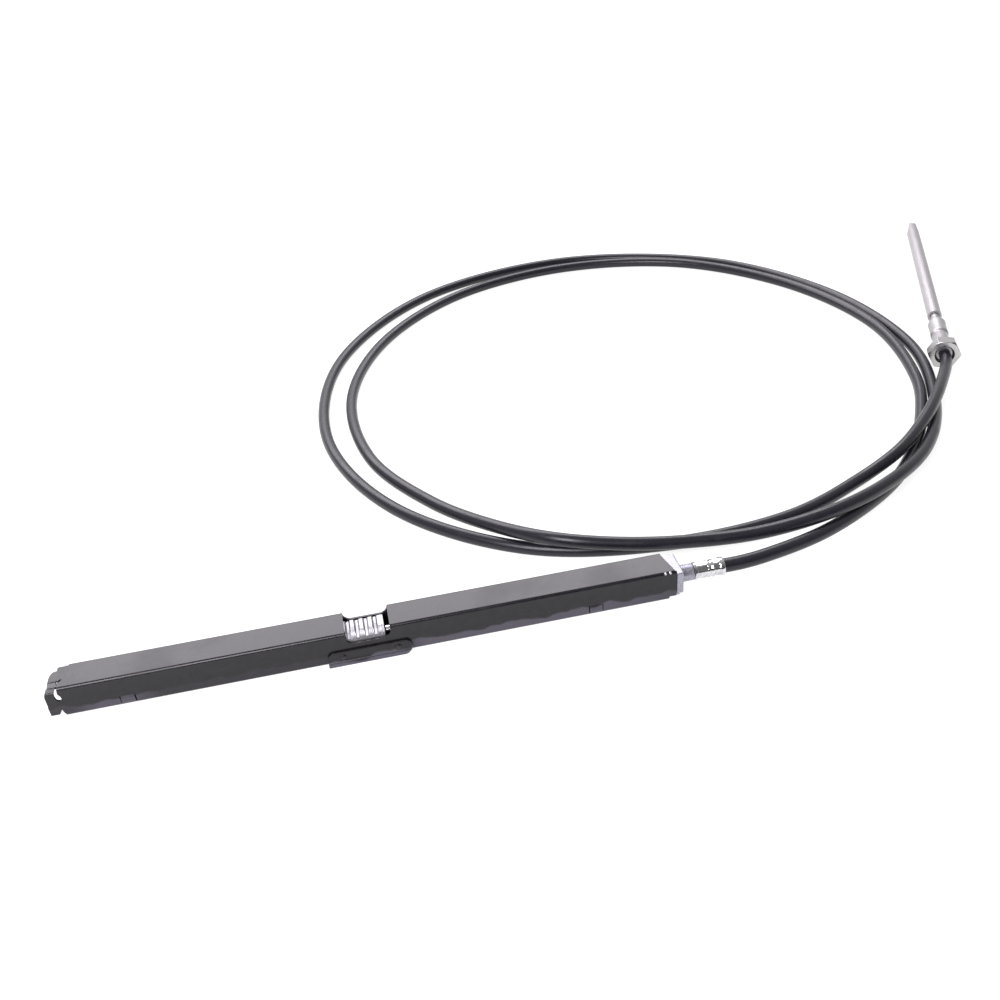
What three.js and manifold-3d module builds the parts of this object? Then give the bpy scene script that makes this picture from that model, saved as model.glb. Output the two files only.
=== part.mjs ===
// Boat steering cable with a rack-and-pinion helm end, in millimetres, +Z up.
// X runs along the rack housing towards the cable, with X = 0 at the middle of the pinion cut-out.
// Y = 0 is the housing's centre plane, and Z = 0 is the level surface that everything lies on.
import * as THREE from 'three';
import { mergeVertices } from 'three/addons/utils/BufferGeometryUtils.js';
import Module from 'manifold-3d';

const wasm = await Module();
wasm.setup();

// Clearances
const seatGap = 0.3;
const slideGap = 0.35;
const cutOver = 2;

// Rack housing, a long box of folded sheet
const housingWidth = 28.9;
const housingHeight = 29;
const sheet = 1.8;
const foldRadius = 2.6;
const housingLeft = 241;
const housingRight = 258.5;

// Joggled flap that closes the left end
const flapReach = 11;
const flapBottom = 3;
const flapCornerTop = 25.5;
const flapCornerReach = 8;
const flapTabReach = 7.4;
const flapTabBack = 6.8;
const flapTabRadius = 2.5;
const flapBackReach = 2.8;
const flapSlotLength = 4.4;
const flapSlotBottom = 16.5;
const notchWidth = 4.2;
const notchDepth = 6.5;

// Cut-out for the pinion, deeper in the front wall than in the back wall
const cutHalfWidth = 18.2;
const frontCutDepth = 10.9;
const backCutDepth = 8;
const cutCornerRadius = 6.5;

// Small bridges pushed out of the front wall
const bridgeCentres = [-192.4, 188.6];
const bridgeLength = 10.5;
const bridgeHeight = 4.5;
const bridgeProud = 0.8;
const bridgeBottom = 3.6;

// Saddle plate under the cut-out, with two rivets
const saddleLeft = -35;
const saddleRight = 34;
const saddleThickness = 2;
const saddleFlange = 12.8;
const saddleCornerRadius = 6;
const saddleFootReach = 5.3;
const saddleFootRise = 4.4;
const saddleFootEdge = 1;
const rivetCentres = [-22.4, 22.2];
const rivetHeight = 7.6;
const rivetRadius = 2.7;
const rivetProud = 1.2;

// Rack, a round bar with teeth cut across its top
const rackLength = 250;
const rackRight = 14;
const toothTop = 25.2;
const toothDepth = 4.6;
const toothPitch = 7.33;
const toothGapTop = 4.6;
const toothGapBottom = 1.7;

// Core rod between the rack and the end fitting
const coreRodRadius = 4;

// End fitting, a zinc casting with a block inside the housing, a plate and a boss
const fittingBlockLength = 14;
const fittingPlateThickness = 6.2;
const fittingPlateInset = 2;
const fittingPlateDrop = 3.2;
const fittingPlateWidth = 28.2;
const fittingChamfer = 5.5;
const cableAxisHeight = 13.5;
const bossRadius = 7.2;
const bossLength = 12.5;
const stakeXs = [248.6, 252.8];
const stakeRadius = 1.3;
const stakeProud = 0.7;

// Crimped ferrule on the boss's end
const ferruleLength = 27;
const ferruleRadius = 7.6;
const ferruleRimRadius = 8;
const ferruleGrooveRadius = 6.9;
const ferruleGrooveAt = 14.5;
const ferruleGrooveHalf = 1.8;
const ferruleRimLength = 3;
const ferruleEdge = 0.6;

// Cable
const cableDiameter = 12.4;
const cableSides = 10;
const cableSteps = 84;

// Output end: coupling nut, support tube with its swaged collars, and the ram that slides over it
const ramHeading = 65.19;
const nutFace = [679.9, 282.9];
const nutFlats = 31;
const nutLength = 15;
const nutBoreRadius = 9.6;
const nutChamfer = 1.4;
const nutFaceInset = 0.2;
const nutCountersink = 1;
const outputHeight = nutFlats / 2;
const cableIntoNut = 3.5;
const hubRadius = 8.8;
const collarRadius = 9.9;
const hubEnd = 50;
const collarEnd = 82;
const collarChamfer = 2;
const supportRadius = 5;
const supportEnd = 372;
const supportPlay = 8;
const ramStart = 103;
const ramEnd = 417;
const ramRadius = 7.95;
const ramBoreRadius = 5.4;
const tipFlatLength = 30;
const tipFlatThickness = 9.6;
const tipTongueLength = 15;
const tipTongueWidth = 9;
const tipHoleRadius = 4.8;
const tipHoleFromEnd = 17;

// The cable's route, from the ferrule to the nut
const route = [
  [319, 0, 13.5],
  [345, 3.5, 13.2],
  [412, 23, 11.8],
  [502, 77, 6.5],
  [547, 119, 6.4],
  [589, 174, 6.3],
  [634, 262, 6.6],
  [657.6, 408, 6.5],
  [611, 560, 6.5],
  [504, 678, 6.3],
  [352, 721, 6.3],
  [198, 685, 6.3],
  [80, 578, 6.3],
  [20, 432, 6.3],
  [28, 282, 6.6],
  [77, 184, 6.9],
  [125, 118, 14],
  [174, 68, 22.8],
  [229, 50, 18.2],
  [287, 40, 14.6],
  [350, 32, 15.9],
  [413, 32, 23.2],
  [486, 60, 22],
  [561, 117, 14.7],
  [627.5, 213.5, 7.2],
  [670, 340.5, 6.6],
  [650, 509, 6.3],
  [547, 666, 6.4],
  [355, 745, 6.3],
  [155, 698, 6.3],
  [19, 541, 6.4],
  [-15, 345, 6.3],
  [40, 186, 6.3],
  [149, 85, 6.3],
  [274, 52, 6.3],
  [393, 59, 6.5],
  [480, 94, 7.6],
  [531, 116, 16.9],
  [576, 152, 20.4],
  [617, 195, 21.6],
];

// Materials
const blackPaint = new THREE.MeshStandardMaterial({ color: 0x2c2b2e, roughness: 0.35, metalness: 0.1 });
const castZinc = new THREE.MeshStandardMaterial({ color: 0xb9bac4, roughness: 0.5, metalness: 0.85 });
const brightSteel = new THREE.MeshStandardMaterial({ color: 0xc9c9cc, roughness: 0.25, metalness: 1 });
const stainless = new THREE.MeshStandardMaterial({ color: 0xb4b0b3, roughness: 0.4, metalness: 1 });
const blackJacket = new THREE.MeshStandardMaterial({ color: 0x3a3a40, roughness: 0.45, metalness: 0 });

const model = new THREE.Group();

// Solids
function solidOf(geometry, matrix = new THREE.Matrix4()) {
  const bare = geometry.clone();
  bare.deleteAttribute('normal');
  bare.deleteAttribute('uv');
  bare.applyMatrix4(matrix);
  const merged = mergeVertices(bare, 1e-4);
  const vertProperties = new Float32Array(merged.attributes.position.array);
  const triVerts = new Uint32Array(merged.index.array);
  return new wasm.Manifold(new wasm.Mesh({ numProp: 3, vertProperties, triVerts }));
}

function geometryOf(solid) {
  const mesh = solid.getMesh();
  const geometry = new THREE.BufferGeometry();
  geometry.setAttribute('position', new THREE.BufferAttribute(mesh.vertProperties, 3));
  geometry.setIndex(new THREE.BufferAttribute(mesh.triVerts, 1));
  return geometry;
}

function addPiece(name, geometry, material) {
  const mesh = new THREE.Mesh(geometry, material);
  mesh.name = name;
  model.add(mesh);
  return mesh;
}

function shift(x, y, z) {
  return new THREE.Matrix4().makeTranslation(x, y, z);
}

// A box from its lowest and highest corners
function boxSolid([x0, y0, z0], [x1, y1, z1]) {
  const geometry = new THREE.BoxGeometry(x1 - x0, y1 - y0, z1 - z0);
  return solidOf(geometry, shift((x0 + x1) / 2, (y0 + y1) / 2, (z0 + z1) / 2));
}

// A shape drawn in Y and Z, extruded along X from x0 to x1
function alongX(shape, x0, x1, curveSegments = 5) {
  const geometry = new THREE.ExtrudeGeometry(shape, { depth: x1 - x0, bevelEnabled: false, curveSegments });
  const axes = new THREE.Matrix4().makeBasis(
    new THREE.Vector3(0, 1, 0),
    new THREE.Vector3(0, 0, 1),
    new THREE.Vector3(1, 0, 0),
  );
  return solidOf(geometry, shift(x0, 0, 0).multiply(axes));
}

// A shape drawn in X and Z, extruded along Y from y0 to y1
function alongY(shape, y0, y1, curveSegments = 5) {
  const geometry = new THREE.ExtrudeGeometry(shape, { depth: y1 - y0, bevelEnabled: false, curveSegments });
  const axes = new THREE.Matrix4().makeBasis(
    new THREE.Vector3(1, 0, 0),
    new THREE.Vector3(0, 0, 1),
    new THREE.Vector3(0, -1, 0),
  );
  return solidOf(geometry, shift(0, y1, 0).multiply(axes));
}

// A turned solid on an axis along X at height z, from pairs of place along X and radius
function turnedX(profile, z, sides = 24) {
  const points = profile.map(([x, radius]) => new THREE.Vector2(radius, x));
  const geometry = new THREE.LatheGeometry(points, sides);
  const turn = new THREE.Matrix4().makeBasis(
    new THREE.Vector3(0, 1, 0),
    new THREE.Vector3(1, 0, 0),
    new THREE.Vector3(0, 0, -1),
  );
  return solidOf(geometry, shift(0, 0, z).multiply(turn));
}

function rectangle(u0, v0, u1, v1) {
  return new THREE.Shape([
    new THREE.Vector2(u0, v0),
    new THREE.Vector2(u1, v0),
    new THREE.Vector2(u1, v1),
    new THREE.Vector2(u0, v1),
  ]);
}

// Outline of a box section with rounded corners, in Y and Z
function roundedSection(width, bottom, top, radius) {
  const half = width / 2;
  const quarter = Math.PI / 2;
  const shape = new THREE.Shape();
  shape.absarc(half - radius, bottom + radius, radius, -quarter, 0, false);
  shape.absarc(half - radius, top - radius, radius, 0, quarter, false);
  shape.absarc(radius - half, top - radius, radius, quarter, 2 * quarter, false);
  shape.absarc(radius - half, bottom + radius, radius, 2 * quarter, 3 * quarter, false);
  shape.closePath();
  return shape;
}

// A length of folded sheet box from x0 to x1
function foldedBox(x0, x1, bottom, top) {
  const outer = roundedSection(housingWidth, bottom, top, foldRadius);
  const inner = roundedSection(housingWidth - 2 * sheet, bottom + sheet, top - sheet, foldRadius - sheet);
  return alongX(outer, x0, x1).subtract(alongX(inner, x0 - cutOver, x1 + cutOver));
}

// Section of the end flap, an upside-down channel whose front top corner is pressed down
function flapSection() {
  const front = -housingWidth / 2;
  const back = housingWidth / 2;
  const riser = front + flapCornerReach;
  return new THREE.Shape([
    new THREE.Vector2(front, flapBottom),
    new THREE.Vector2(front + sheet, flapBottom),
    new THREE.Vector2(front + sheet, flapCornerTop - sheet),
    new THREE.Vector2(riser + sheet, flapCornerTop - sheet),
    new THREE.Vector2(riser + sheet, housingHeight - sheet),
    new THREE.Vector2(back - foldRadius, housingHeight - sheet),
    new THREE.Vector2(back - sheet, housingHeight - foldRadius),
    new THREE.Vector2(back - sheet, flapBottom),
    new THREE.Vector2(back, flapBottom),
    new THREE.Vector2(back, housingHeight - foldRadius),
    new THREE.Vector2(back - foldRadius, housingHeight),
    new THREE.Vector2(riser, housingHeight),
    new THREE.Vector2(riser, flapCornerTop),
    new THREE.Vector2(front, flapCornerTop),
  ]);
}

// What is cut off the flap behind its pressed-down corner: it ends in a top tab and a short back tab
function flapTrim() {
  const riser = -housingWidth / 2 + flapCornerReach;
  const end = -housingLeft - flapReach - cutOver;
  const tab = -housingLeft - flapTabReach;
  const backTab = -housingLeft - flapBackReach;
  const back = housingWidth / 2 + cutOver;
  return new THREE.Shape([
    new THREE.Vector2(end, riser + sheet / 2),
    new THREE.Vector2(tab, riser + sheet / 2),
    new THREE.Vector2(tab, flapTabBack - flapTabRadius),
    new THREE.Vector2(tab + flapTabRadius, flapTabBack),
    new THREE.Vector2(backTab, flapTabBack),
    new THREE.Vector2(backTab, back),
    new THREE.Vector2(end, back),
  ]);
}

// Outline of the pinion cut-out in one wall: straight sides down to rounded lower corners
function cutOutline(depth) {
  const bottom = housingHeight - depth;
  const radius = Math.min(cutCornerRadius, depth - 1);
  const shape = new THREE.Shape();
  shape.moveTo(cutHalfWidth, housingHeight + cutOver);
  shape.lineTo(-cutHalfWidth, housingHeight + cutOver);
  shape.absarc(radius - cutHalfWidth, bottom + radius, radius, Math.PI, 1.5 * Math.PI, false);
  shape.absarc(cutHalfWidth - radius, bottom + radius, radius, 1.5 * Math.PI, 2 * Math.PI, false);
  return shape;
}

const frontFace = -housingWidth / 2;
const backFace = housingWidth / 2;

function rackHousing() {
  const flap = alongX(flapSection(), -housingLeft - flapReach, -housingLeft + sheet);
  let solid = foldedBox(-housingLeft, housingRight, 0, housingHeight).add(flap);

  solid = solid.subtract(alongY(cutOutline(frontCutDepth), frontFace - cutOver, 0));
  solid = solid.subtract(alongY(cutOutline(backCutDepth), -cutOver / 2, backFace + cutOver));

  const slotRight = -housingLeft + 1.4;
  const slot = boxSolid(
    [slotRight - flapSlotLength, frontFace - cutOver, flapSlotBottom],
    [slotRight, frontFace + flapCornerReach, housingHeight + cutOver],
  );
  solid = solid.subtract(slot);

  const trim = new THREE.ExtrudeGeometry(flapTrim(), { depth: housingHeight + 2 * cutOver, bevelEnabled: false });
  solid = solid.subtract(solidOf(trim, shift(0, 0, -cutOver)));

  const bottomNotch = new THREE.Shape([
    new THREE.Vector2(-housingLeft - notchWidth, -cutOver),
    new THREE.Vector2(-housingLeft + 0.2, -cutOver),
    new THREE.Vector2(-housingLeft - 1.5, notchDepth),
  ]);
  solid = solid.subtract(alongY(bottomNotch, frontFace - cutOver, backFace + cutOver));

  const topNotch = new THREE.Shape();
  topNotch.moveTo(-housingLeft + notchWidth, backFace + cutOver);
  topNotch.lineTo(-housingLeft + notchWidth, backFace - notchDepth / 2);
  topNotch.lineTo(-housingLeft + 1.4 * notchWidth, backFace - notchDepth / 2);
  topNotch.lineTo(-housingLeft + 1.8 * notchWidth, backFace + cutOver);
  const notch = new THREE.ExtrudeGeometry(topNotch, { depth: 2 * sheet, bevelEnabled: false });
  solid = solid.subtract(solidOf(notch, shift(0, 0, housingHeight - 2 * sheet + cutOver / 4)));

  for (const centre of bridgeCentres) {
    solid = solid.add(boxSolid(
      [centre - bridgeLength / 2, frontFace - bridgeProud, bridgeBottom],
      [centre + bridgeLength / 2, frontFace + sheet / 2, bridgeBottom + bridgeHeight],
    ));
  }
  return solid;
}

// Saddle plate: a flange against the housing's front wall, flared outwards into a foot
function saddlePlate() {
  const face = frontFace - seatGap;
  const section = new THREE.Shape([
    new THREE.Vector2(face, saddleFlange),
    new THREE.Vector2(face - saddleThickness, saddleFlange),
    new THREE.Vector2(face - saddleThickness, saddleFootRise),
    new THREE.Vector2(face - saddleFootReach, saddleFootEdge),
    new THREE.Vector2(face - saddleFootReach, 0),
    new THREE.Vector2(face - saddleFootReach + saddleThickness, 0),
    new THREE.Vector2(face, saddleFootRise - saddleFootEdge),
  ]);
  const radius = saddleCornerRadius;
  const outline = new THREE.Shape();
  outline.moveTo(saddleLeft, 0);
  outline.lineTo(saddleRight - radius, 0);
  outline.lineTo(saddleRight, radius / 2);
  outline.absarc(saddleRight - radius, saddleFlange - radius, radius, 0, Math.PI / 2, false);
  outline.absarc(saddleLeft + radius, saddleFlange - radius, radius, Math.PI / 2, Math.PI, false);
  const blank = alongX(section, saddleLeft, saddleRight);
  return blank.intersect(alongY(outline, face - 2 * saddleFootReach, face + cutOver));
}

// Round-headed rivet through the saddle plate's flange
function saddleRivet(centre) {
  const face = frontFace - seatGap - saddleThickness - seatGap;
  const profile = [
    new THREE.Vector2(0, 0),
    new THREE.Vector2(rivetRadius, 0),
    new THREE.Vector2(rivetRadius * 0.8, rivetProud * 0.6),
    new THREE.Vector2(rivetRadius * 0.4, rivetProud),
    new THREE.Vector2(0, rivetProud),
  ];
  const geometry = new THREE.LatheGeometry(profile, 16);
  const turn = new THREE.Matrix4().makeRotationX(Math.PI);
  return solidOf(geometry, shift(centre, face, rivetHeight).multiply(turn));
}

const insideHeight = housingHeight - 2 * sheet;
const insideWidth = housingWidth - 2 * sheet;
const rackRadius = Math.min(insideHeight, insideWidth) / 2 - slideGap;
const rackAxis = housingHeight / 2;
const rackLeft = rackRight - rackLength;

function rackBar() {
  let bar = turnedX([[rackLeft, 0], [rackLeft, rackRadius], [rackRight, rackRadius], [rackRight, 0]], rackAxis, 28);
  bar = bar.subtract(boxSolid(
    [rackLeft - cutOver, -rackRadius - cutOver, toothTop],
    [rackRight + cutOver, rackRadius + cutOver, rackAxis + rackRadius + cutOver],
  ));
  const gaps = Math.floor(rackLength / toothPitch) - 1;
  const firstGap = rackRight - toothPitch / 2;
  for (let i = 0; i < gaps; i += 1) {
    const x = firstGap - toothPitch * (i + 0.5);
    const gap = new THREE.Shape([
      new THREE.Vector2(x - toothGapBottom / 2, toothTop - toothDepth),
      new THREE.Vector2(x + toothGapBottom / 2, toothTop - toothDepth),
      new THREE.Vector2(x + toothGapTop / 2, toothTop + seatGap),
      new THREE.Vector2(x - toothGapTop / 2, toothTop + seatGap),
    ]);
    bar = bar.subtract(alongY(gap, -rackRadius - cutOver, rackRadius + cutOver));
  }
  return bar;
}

const plateLeft = housingRight + seatGap;
const plateRight = plateLeft + fittingPlateThickness;
const blockLeft = housingRight - fittingBlockLength;

// Core rod: a plain bar that gets shorter as the rack comes towards the end fitting
function coreRod() {
  const start = rackRight + seatGap;
  const end = blockLeft - seatGap;
  return turnedX([[start, 0], [start, coreRodRadius], [end, coreRodRadius], [end, 0]], cableAxisHeight, 16);
}

function endFitting() {
  const block = rectangle(
    -insideWidth / 2 + seatGap, sheet + seatGap,
    insideWidth / 2 - seatGap, housingHeight - sheet - seatGap,
  );
  let solid = alongX(block, blockLeft, plateRight - fittingPlateThickness / 2);
  const half = fittingPlateWidth / 2;
  const plateTop = housingHeight - fittingPlateDrop;
  const plate = new THREE.Shape([
    new THREE.Vector2(-half, fittingPlateInset + fittingChamfer),
    new THREE.Vector2(fittingChamfer - half, fittingPlateInset),
    new THREE.Vector2(half - fittingChamfer, fittingPlateInset),
    new THREE.Vector2(half, fittingPlateInset + fittingChamfer),
    new THREE.Vector2(half, plateTop),
    new THREE.Vector2(-half, plateTop),
  ]);
  solid = solid.add(alongX(plate, plateLeft, plateRight));
  const boss = [[plateLeft, 0], [plateLeft, bossRadius], [plateRight + bossLength, bossRadius], [plateRight + bossLength, 0]];
  return solid.add(turnedX(boss, cableAxisHeight));
}

// Bright round stake on the housing's top front fold, facing out at half a right angle
function stake(x) {
  const profile = [
    new THREE.Vector2(0, 0),
    new THREE.Vector2(stakeRadius, 0),
    new THREE.Vector2(stakeRadius * 0.6, stakeProud),
    new THREE.Vector2(0, stakeProud),
  ];
  const geometry = new THREE.LatheGeometry(profile, 12);
  const out = (foldRadius + seatGap) * Math.SQRT1_2;
  const seat = shift(x, frontFace + foldRadius - out, housingHeight - foldRadius + out);
  return solidOf(geometry, seat.multiply(new THREE.Matrix4().makeRotationX(0.75 * Math.PI)));
}

const ferruleLeft = plateRight + bossLength + seatGap;
const ferruleRight = ferruleLeft + ferruleLength;

function crimpFerrule() {
  const groove = ferruleLeft + ferruleGrooveAt;
  const profile = [
    [ferruleLeft, 0],
    [ferruleLeft, ferruleRadius - ferruleEdge],
    [ferruleLeft + ferruleEdge, ferruleRadius],
    [groove - ferruleGrooveHalf, ferruleRadius],
    [groove, ferruleGrooveRadius],
    [groove + ferruleGrooveHalf, ferruleRadius],
    [ferruleRight - ferruleRimLength - ferruleEdge, ferruleRadius],
    [ferruleRight - ferruleRimLength, ferruleRimRadius],
    [ferruleRight - ferruleEdge, ferruleRimRadius],
    [ferruleRight, ferruleRimRadius - ferruleEdge],
    [ferruleRight, 0],
  ];
  return turnedX(profile, cableAxisHeight);
}

// Output end, drawn along its own X axis and turned to its heading
const outputTurn = shift(nutFace[0], nutFace[1], 0).multiply(
  new THREE.Matrix4().makeRotationZ(THREE.MathUtils.degToRad(ramHeading)),
);

function outputPoint(along, height) {
  return new THREE.Vector3(along, 0, height).applyMatrix4(outputTurn);
}

function placeOutput(solid) {
  return geometryOf(solid).applyMatrix4(outputTurn);
}

function couplingNut() {
  const corner = nutFlats / Math.sqrt(3);
  const hexagon = new THREE.Shape();
  for (let i = 0; i < 6; i += 1) {
    const angle = (i * Math.PI) / 3;
    const place = [corner * Math.cos(angle), outputHeight + corner * Math.sin(angle)];
    if (i === 0) hexagon.moveTo(...place);
    else hexagon.lineTo(...place);
  }
  const bodyHex = alongX(hexagon, 0, nutLength);
  const cone = turnedX([
    [0, 0],
    [0, nutFlats / 2 - nutFaceInset],
    [nutChamfer, corner + nutFaceInset],
    [nutLength - nutChamfer, corner + nutFaceInset],
    [nutLength, nutFlats / 2 - nutFaceInset],
    [nutLength, 0],
  ], outputHeight, 36);
  const bore = turnedX([
    [-cutOver, 0],
    [-cutOver, nutBoreRadius + nutCountersink + cutOver],
    [nutCountersink, nutBoreRadius],
    [nutLength + cutOver, nutBoreRadius],
    [nutLength + cutOver, 0],
  ], outputHeight);
  return bodyHex.intersect(cone).subtract(bore);
}

function supportTube() {
  const start = cableIntoNut + seatGap;
  return turnedX([
    [start, 0],
    [start, hubRadius],
    [hubEnd, hubRadius],
    [hubEnd + collarChamfer, collarRadius],
    [collarEnd - collarChamfer, collarRadius],
    [collarEnd, collarRadius - collarChamfer],
    [collarEnd, supportRadius],
    [supportEnd, supportRadius],
    [supportEnd, 0],
  ], outputHeight);
}

function outputRam() {
  let solid = turnedX([
    [ramStart, ramBoreRadius],
    [ramStart, ramRadius],
    [ramEnd, ramRadius],
    [ramEnd, 0],
    [supportEnd + supportPlay, 0],
    [supportEnd + supportPlay, ramBoreRadius],
    [ramStart, ramBoreRadius],
  ], outputHeight);
  for (const side of [-1, 1]) {
    const flat = boxSolid(
      [ramEnd - tipFlatLength, tipFlatThickness / 2, outputHeight - ramRadius - cutOver],
      [ramEnd + cutOver, ramRadius + cutOver, outputHeight + ramRadius + cutOver],
    );
    solid = solid.subtract(side > 0 ? flat : flat.mirror([0, 1, 0]));
    const corner = new THREE.Shape([
      new THREE.Vector2(ramEnd - tipTongueLength, outputHeight + side * (ramRadius + cutOver)),
      new THREE.Vector2(ramEnd - tipTongueLength, outputHeight + side * ramRadius),
      new THREE.Vector2(ramEnd + cutOver, outputHeight + side * tipTongueWidth / 2),
      new THREE.Vector2(ramEnd + cutOver, outputHeight + side * (ramRadius + cutOver)),
    ]);
    solid = solid.subtract(alongY(corner, -2 * ramRadius, 2 * ramRadius));
  }
  const hole = new THREE.CylinderGeometry(tipHoleRadius, tipHoleRadius, 4 * ramRadius, 20);
  return solid.subtract(solidOf(hole, shift(ramEnd - tipHoleFromEnd, 0, outputHeight)));
}

// Cable: a round section swept along a smooth curve through the route's points
function cableJacket() {
  const start = new THREE.Vector3(ferruleRight + seatGap, 0, cableAxisHeight);
  const end = outputPoint(cableIntoNut, outputHeight);
  const beforeEnd = outputPoint(cableIntoNut - 3 * cableDiameter / 2, outputHeight);
  const points = route.map((point) => new THREE.Vector3(...point));
  const path = new THREE.CatmullRomCurve3([start, ...points, beforeEnd, end]);
  path.arcLengthDivisions = 2000;
  const section = new THREE.Shape();
  for (let i = 0; i < cableSides; i += 1) {
    const angle = (i * 2 * Math.PI) / cableSides;
    const place = [cableDiameter / 2 * Math.cos(angle), cableDiameter / 2 * Math.sin(angle)];
    if (i === 0) section.moveTo(...place);
    else section.lineTo(...place);
  }
  const geometry = new THREE.ExtrudeGeometry(section, { steps: cableSteps, bevelEnabled: false, extrudePath: path });
  return geometryOf(solidOf(geometry));
}

addPiece('rack_housing', geometryOf(rackHousing()), blackPaint);
addPiece('saddle_plate', geometryOf(saddlePlate()), blackPaint);
addPiece('saddle_rivet_left', geometryOf(saddleRivet(rivetCentres[0])), blackPaint);
addPiece('saddle_rivet_right', geometryOf(saddleRivet(rivetCentres[1])), blackPaint);
addPiece('rack', geometryOf(rackBar()), castZinc);
addPiece('core_rod', geometryOf(coreRod()), stainless);
addPiece('end_fitting', geometryOf(endFitting()), castZinc);
addPiece('stake_left', geometryOf(stake(stakeXs[0])), brightSteel);
addPiece('stake_right', geometryOf(stake(stakeXs[1])), brightSteel);
addPiece('crimp_ferrule', geometryOf(crimpFerrule()), brightSteel);
addPiece('cable_jacket', cableJacket(), blackJacket);
addPiece('coupling_nut', placeOutput(couplingNut()), stainless);
addPiece('support_tube', placeOutput(supportTube()), stainless);
addPiece('output_ram', placeOutput(outputRam()), stainless);

export default model;
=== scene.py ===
import math

import bmesh
import bpy
from mathutils import Matrix, Vector


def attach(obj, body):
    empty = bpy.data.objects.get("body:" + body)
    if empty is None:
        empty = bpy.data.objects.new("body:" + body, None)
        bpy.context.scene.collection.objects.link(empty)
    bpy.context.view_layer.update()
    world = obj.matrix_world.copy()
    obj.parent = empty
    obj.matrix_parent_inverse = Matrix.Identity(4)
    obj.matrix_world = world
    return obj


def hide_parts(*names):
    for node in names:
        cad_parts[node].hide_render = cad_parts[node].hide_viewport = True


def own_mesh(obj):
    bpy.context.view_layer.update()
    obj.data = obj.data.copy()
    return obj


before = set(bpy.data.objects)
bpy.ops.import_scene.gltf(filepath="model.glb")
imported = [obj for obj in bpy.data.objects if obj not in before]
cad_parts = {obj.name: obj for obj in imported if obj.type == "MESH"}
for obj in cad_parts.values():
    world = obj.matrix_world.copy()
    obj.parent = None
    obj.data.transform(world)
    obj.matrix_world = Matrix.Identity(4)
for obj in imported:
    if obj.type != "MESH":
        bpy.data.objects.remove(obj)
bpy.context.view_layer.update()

# Lengths are written in millimetres in the row frame and scaled to metres when a mesh is made.
MM = 0.001

# Camera at the photograph's viewing angle
CAMERA_PLACE = Vector((22.83, -640.08, 560.87)) * MM
CAMERA_PITCH = 0.59718
CAMERA_YAW = -0.1482
CAMERA_ROLL = -0.09128
FOCAL_IN_FRAMES = 1.0139
SENSOR = 36

forward = Vector((
    -math.sin(CAMERA_YAW) * math.cos(CAMERA_PITCH),
    math.cos(CAMERA_YAW) * math.cos(CAMERA_PITCH),
    -math.sin(CAMERA_PITCH),
))
level_right = Vector((math.cos(CAMERA_YAW), math.sin(CAMERA_YAW), 0))
level_up = level_right.cross(forward)
right = level_right * math.cos(CAMERA_ROLL) + level_up * math.sin(CAMERA_ROLL)
up = level_up * math.cos(CAMERA_ROLL) - level_right * math.sin(CAMERA_ROLL)
camera_data = bpy.data.cameras.new("camera")
camera_data.sensor_width = SENSOR
camera_data.lens = SENSOR * FOCAL_IN_FRAMES
camera = bpy.data.objects.new("camera", camera_data)
camera_turn = Matrix((right, up, -forward)).transposed().to_4x4()
camera.matrix_world = Matrix.Translation(CAMERA_PLACE) @ camera_turn
bpy.context.scene.collection.objects.link(camera)
bpy.context.scene.camera = camera
bpy.context.scene.view_settings.view_transform = "Standard"


# Mesh building
def make_object(name, verts, faces, material, body=None, sharp=32):
    """A smooth-shaded mesh object, from points in millimetres, that rides on a body."""
    mesh = bpy.data.meshes.new(name)
    mesh.from_pydata([Vector(v) * MM for v in verts], [], faces)
    mesh.materials.append(material)
    mesh.shade_smooth()
    mesh.set_sharp_from_angle(angle=math.radians(sharp))
    obj = bpy.data.objects.new(name, mesh)
    bpy.context.scene.collection.objects.link(obj)
    if body:
        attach(obj, body)
    return obj


def settle(obj, sharp=32):
    """Turn an object's modifiers into plain mesh."""
    depsgraph = bpy.context.evaluated_depsgraph_get()
    mesh = bpy.data.meshes.new_from_object(obj.evaluated_get(depsgraph))
    obj.modifiers.clear()
    obj.data = mesh
    mesh.shade_smooth()
    mesh.set_sharp_from_angle(angle=math.radians(sharp))


def combine(obj, other, operation="DIFFERENCE"):
    """Join a second solid to the first, or cut it away, and drop the second."""
    change = obj.modifiers.new("combine", "BOOLEAN")
    change.operation = operation
    change.object = other
    change.solver = "EXACT"
    bpy.context.view_layer.update()
    settle(obj)
    bpy.data.objects.remove(other)


def round_edges(obj, width, segments=2, angle=38):
    """Break the sharp edges of a finished solid, so that they catch the light."""
    bevel = obj.modifiers.new("edges", "BEVEL")
    bevel.width = width * MM
    bevel.segments = segments
    bevel.limit_method = "ANGLE"
    bevel.angle_limit = math.radians(angle)
    bevel.use_clamp_overlap = True
    bpy.context.view_layer.update()
    settle(obj, 45)
    obj.modifiers.new("normals", "WEIGHTED_NORMAL").keep_sharp = True


def prism(name, outline, axis, low, high, material):
    """A solid whose outline is extruded along one axis, from two coordinates in axis order."""
    count = len(outline)
    verts = []
    for level in (low, high):
        for u, v in outline:
            place = [u, v]
            place.insert("XYZ".index(axis), level)
            verts.append(place)
    faces = [[i, (i + 1) % count, count + (i + 1) % count, count + i] for i in range(count)]
    faces.append(list(range(count))[::-1])
    faces.append(list(range(count, 2 * count)))
    obj = make_object(name, verts, faces, material)
    fix_normals(obj)
    return obj


def fix_normals(obj):
    """Face every side of a closed mesh outwards."""
    work = bmesh.new()
    work.from_mesh(obj.data)
    bmesh.ops.recalc_face_normals(work, faces=work.faces)
    work.to_mesh(obj.data)
    work.free()


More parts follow.
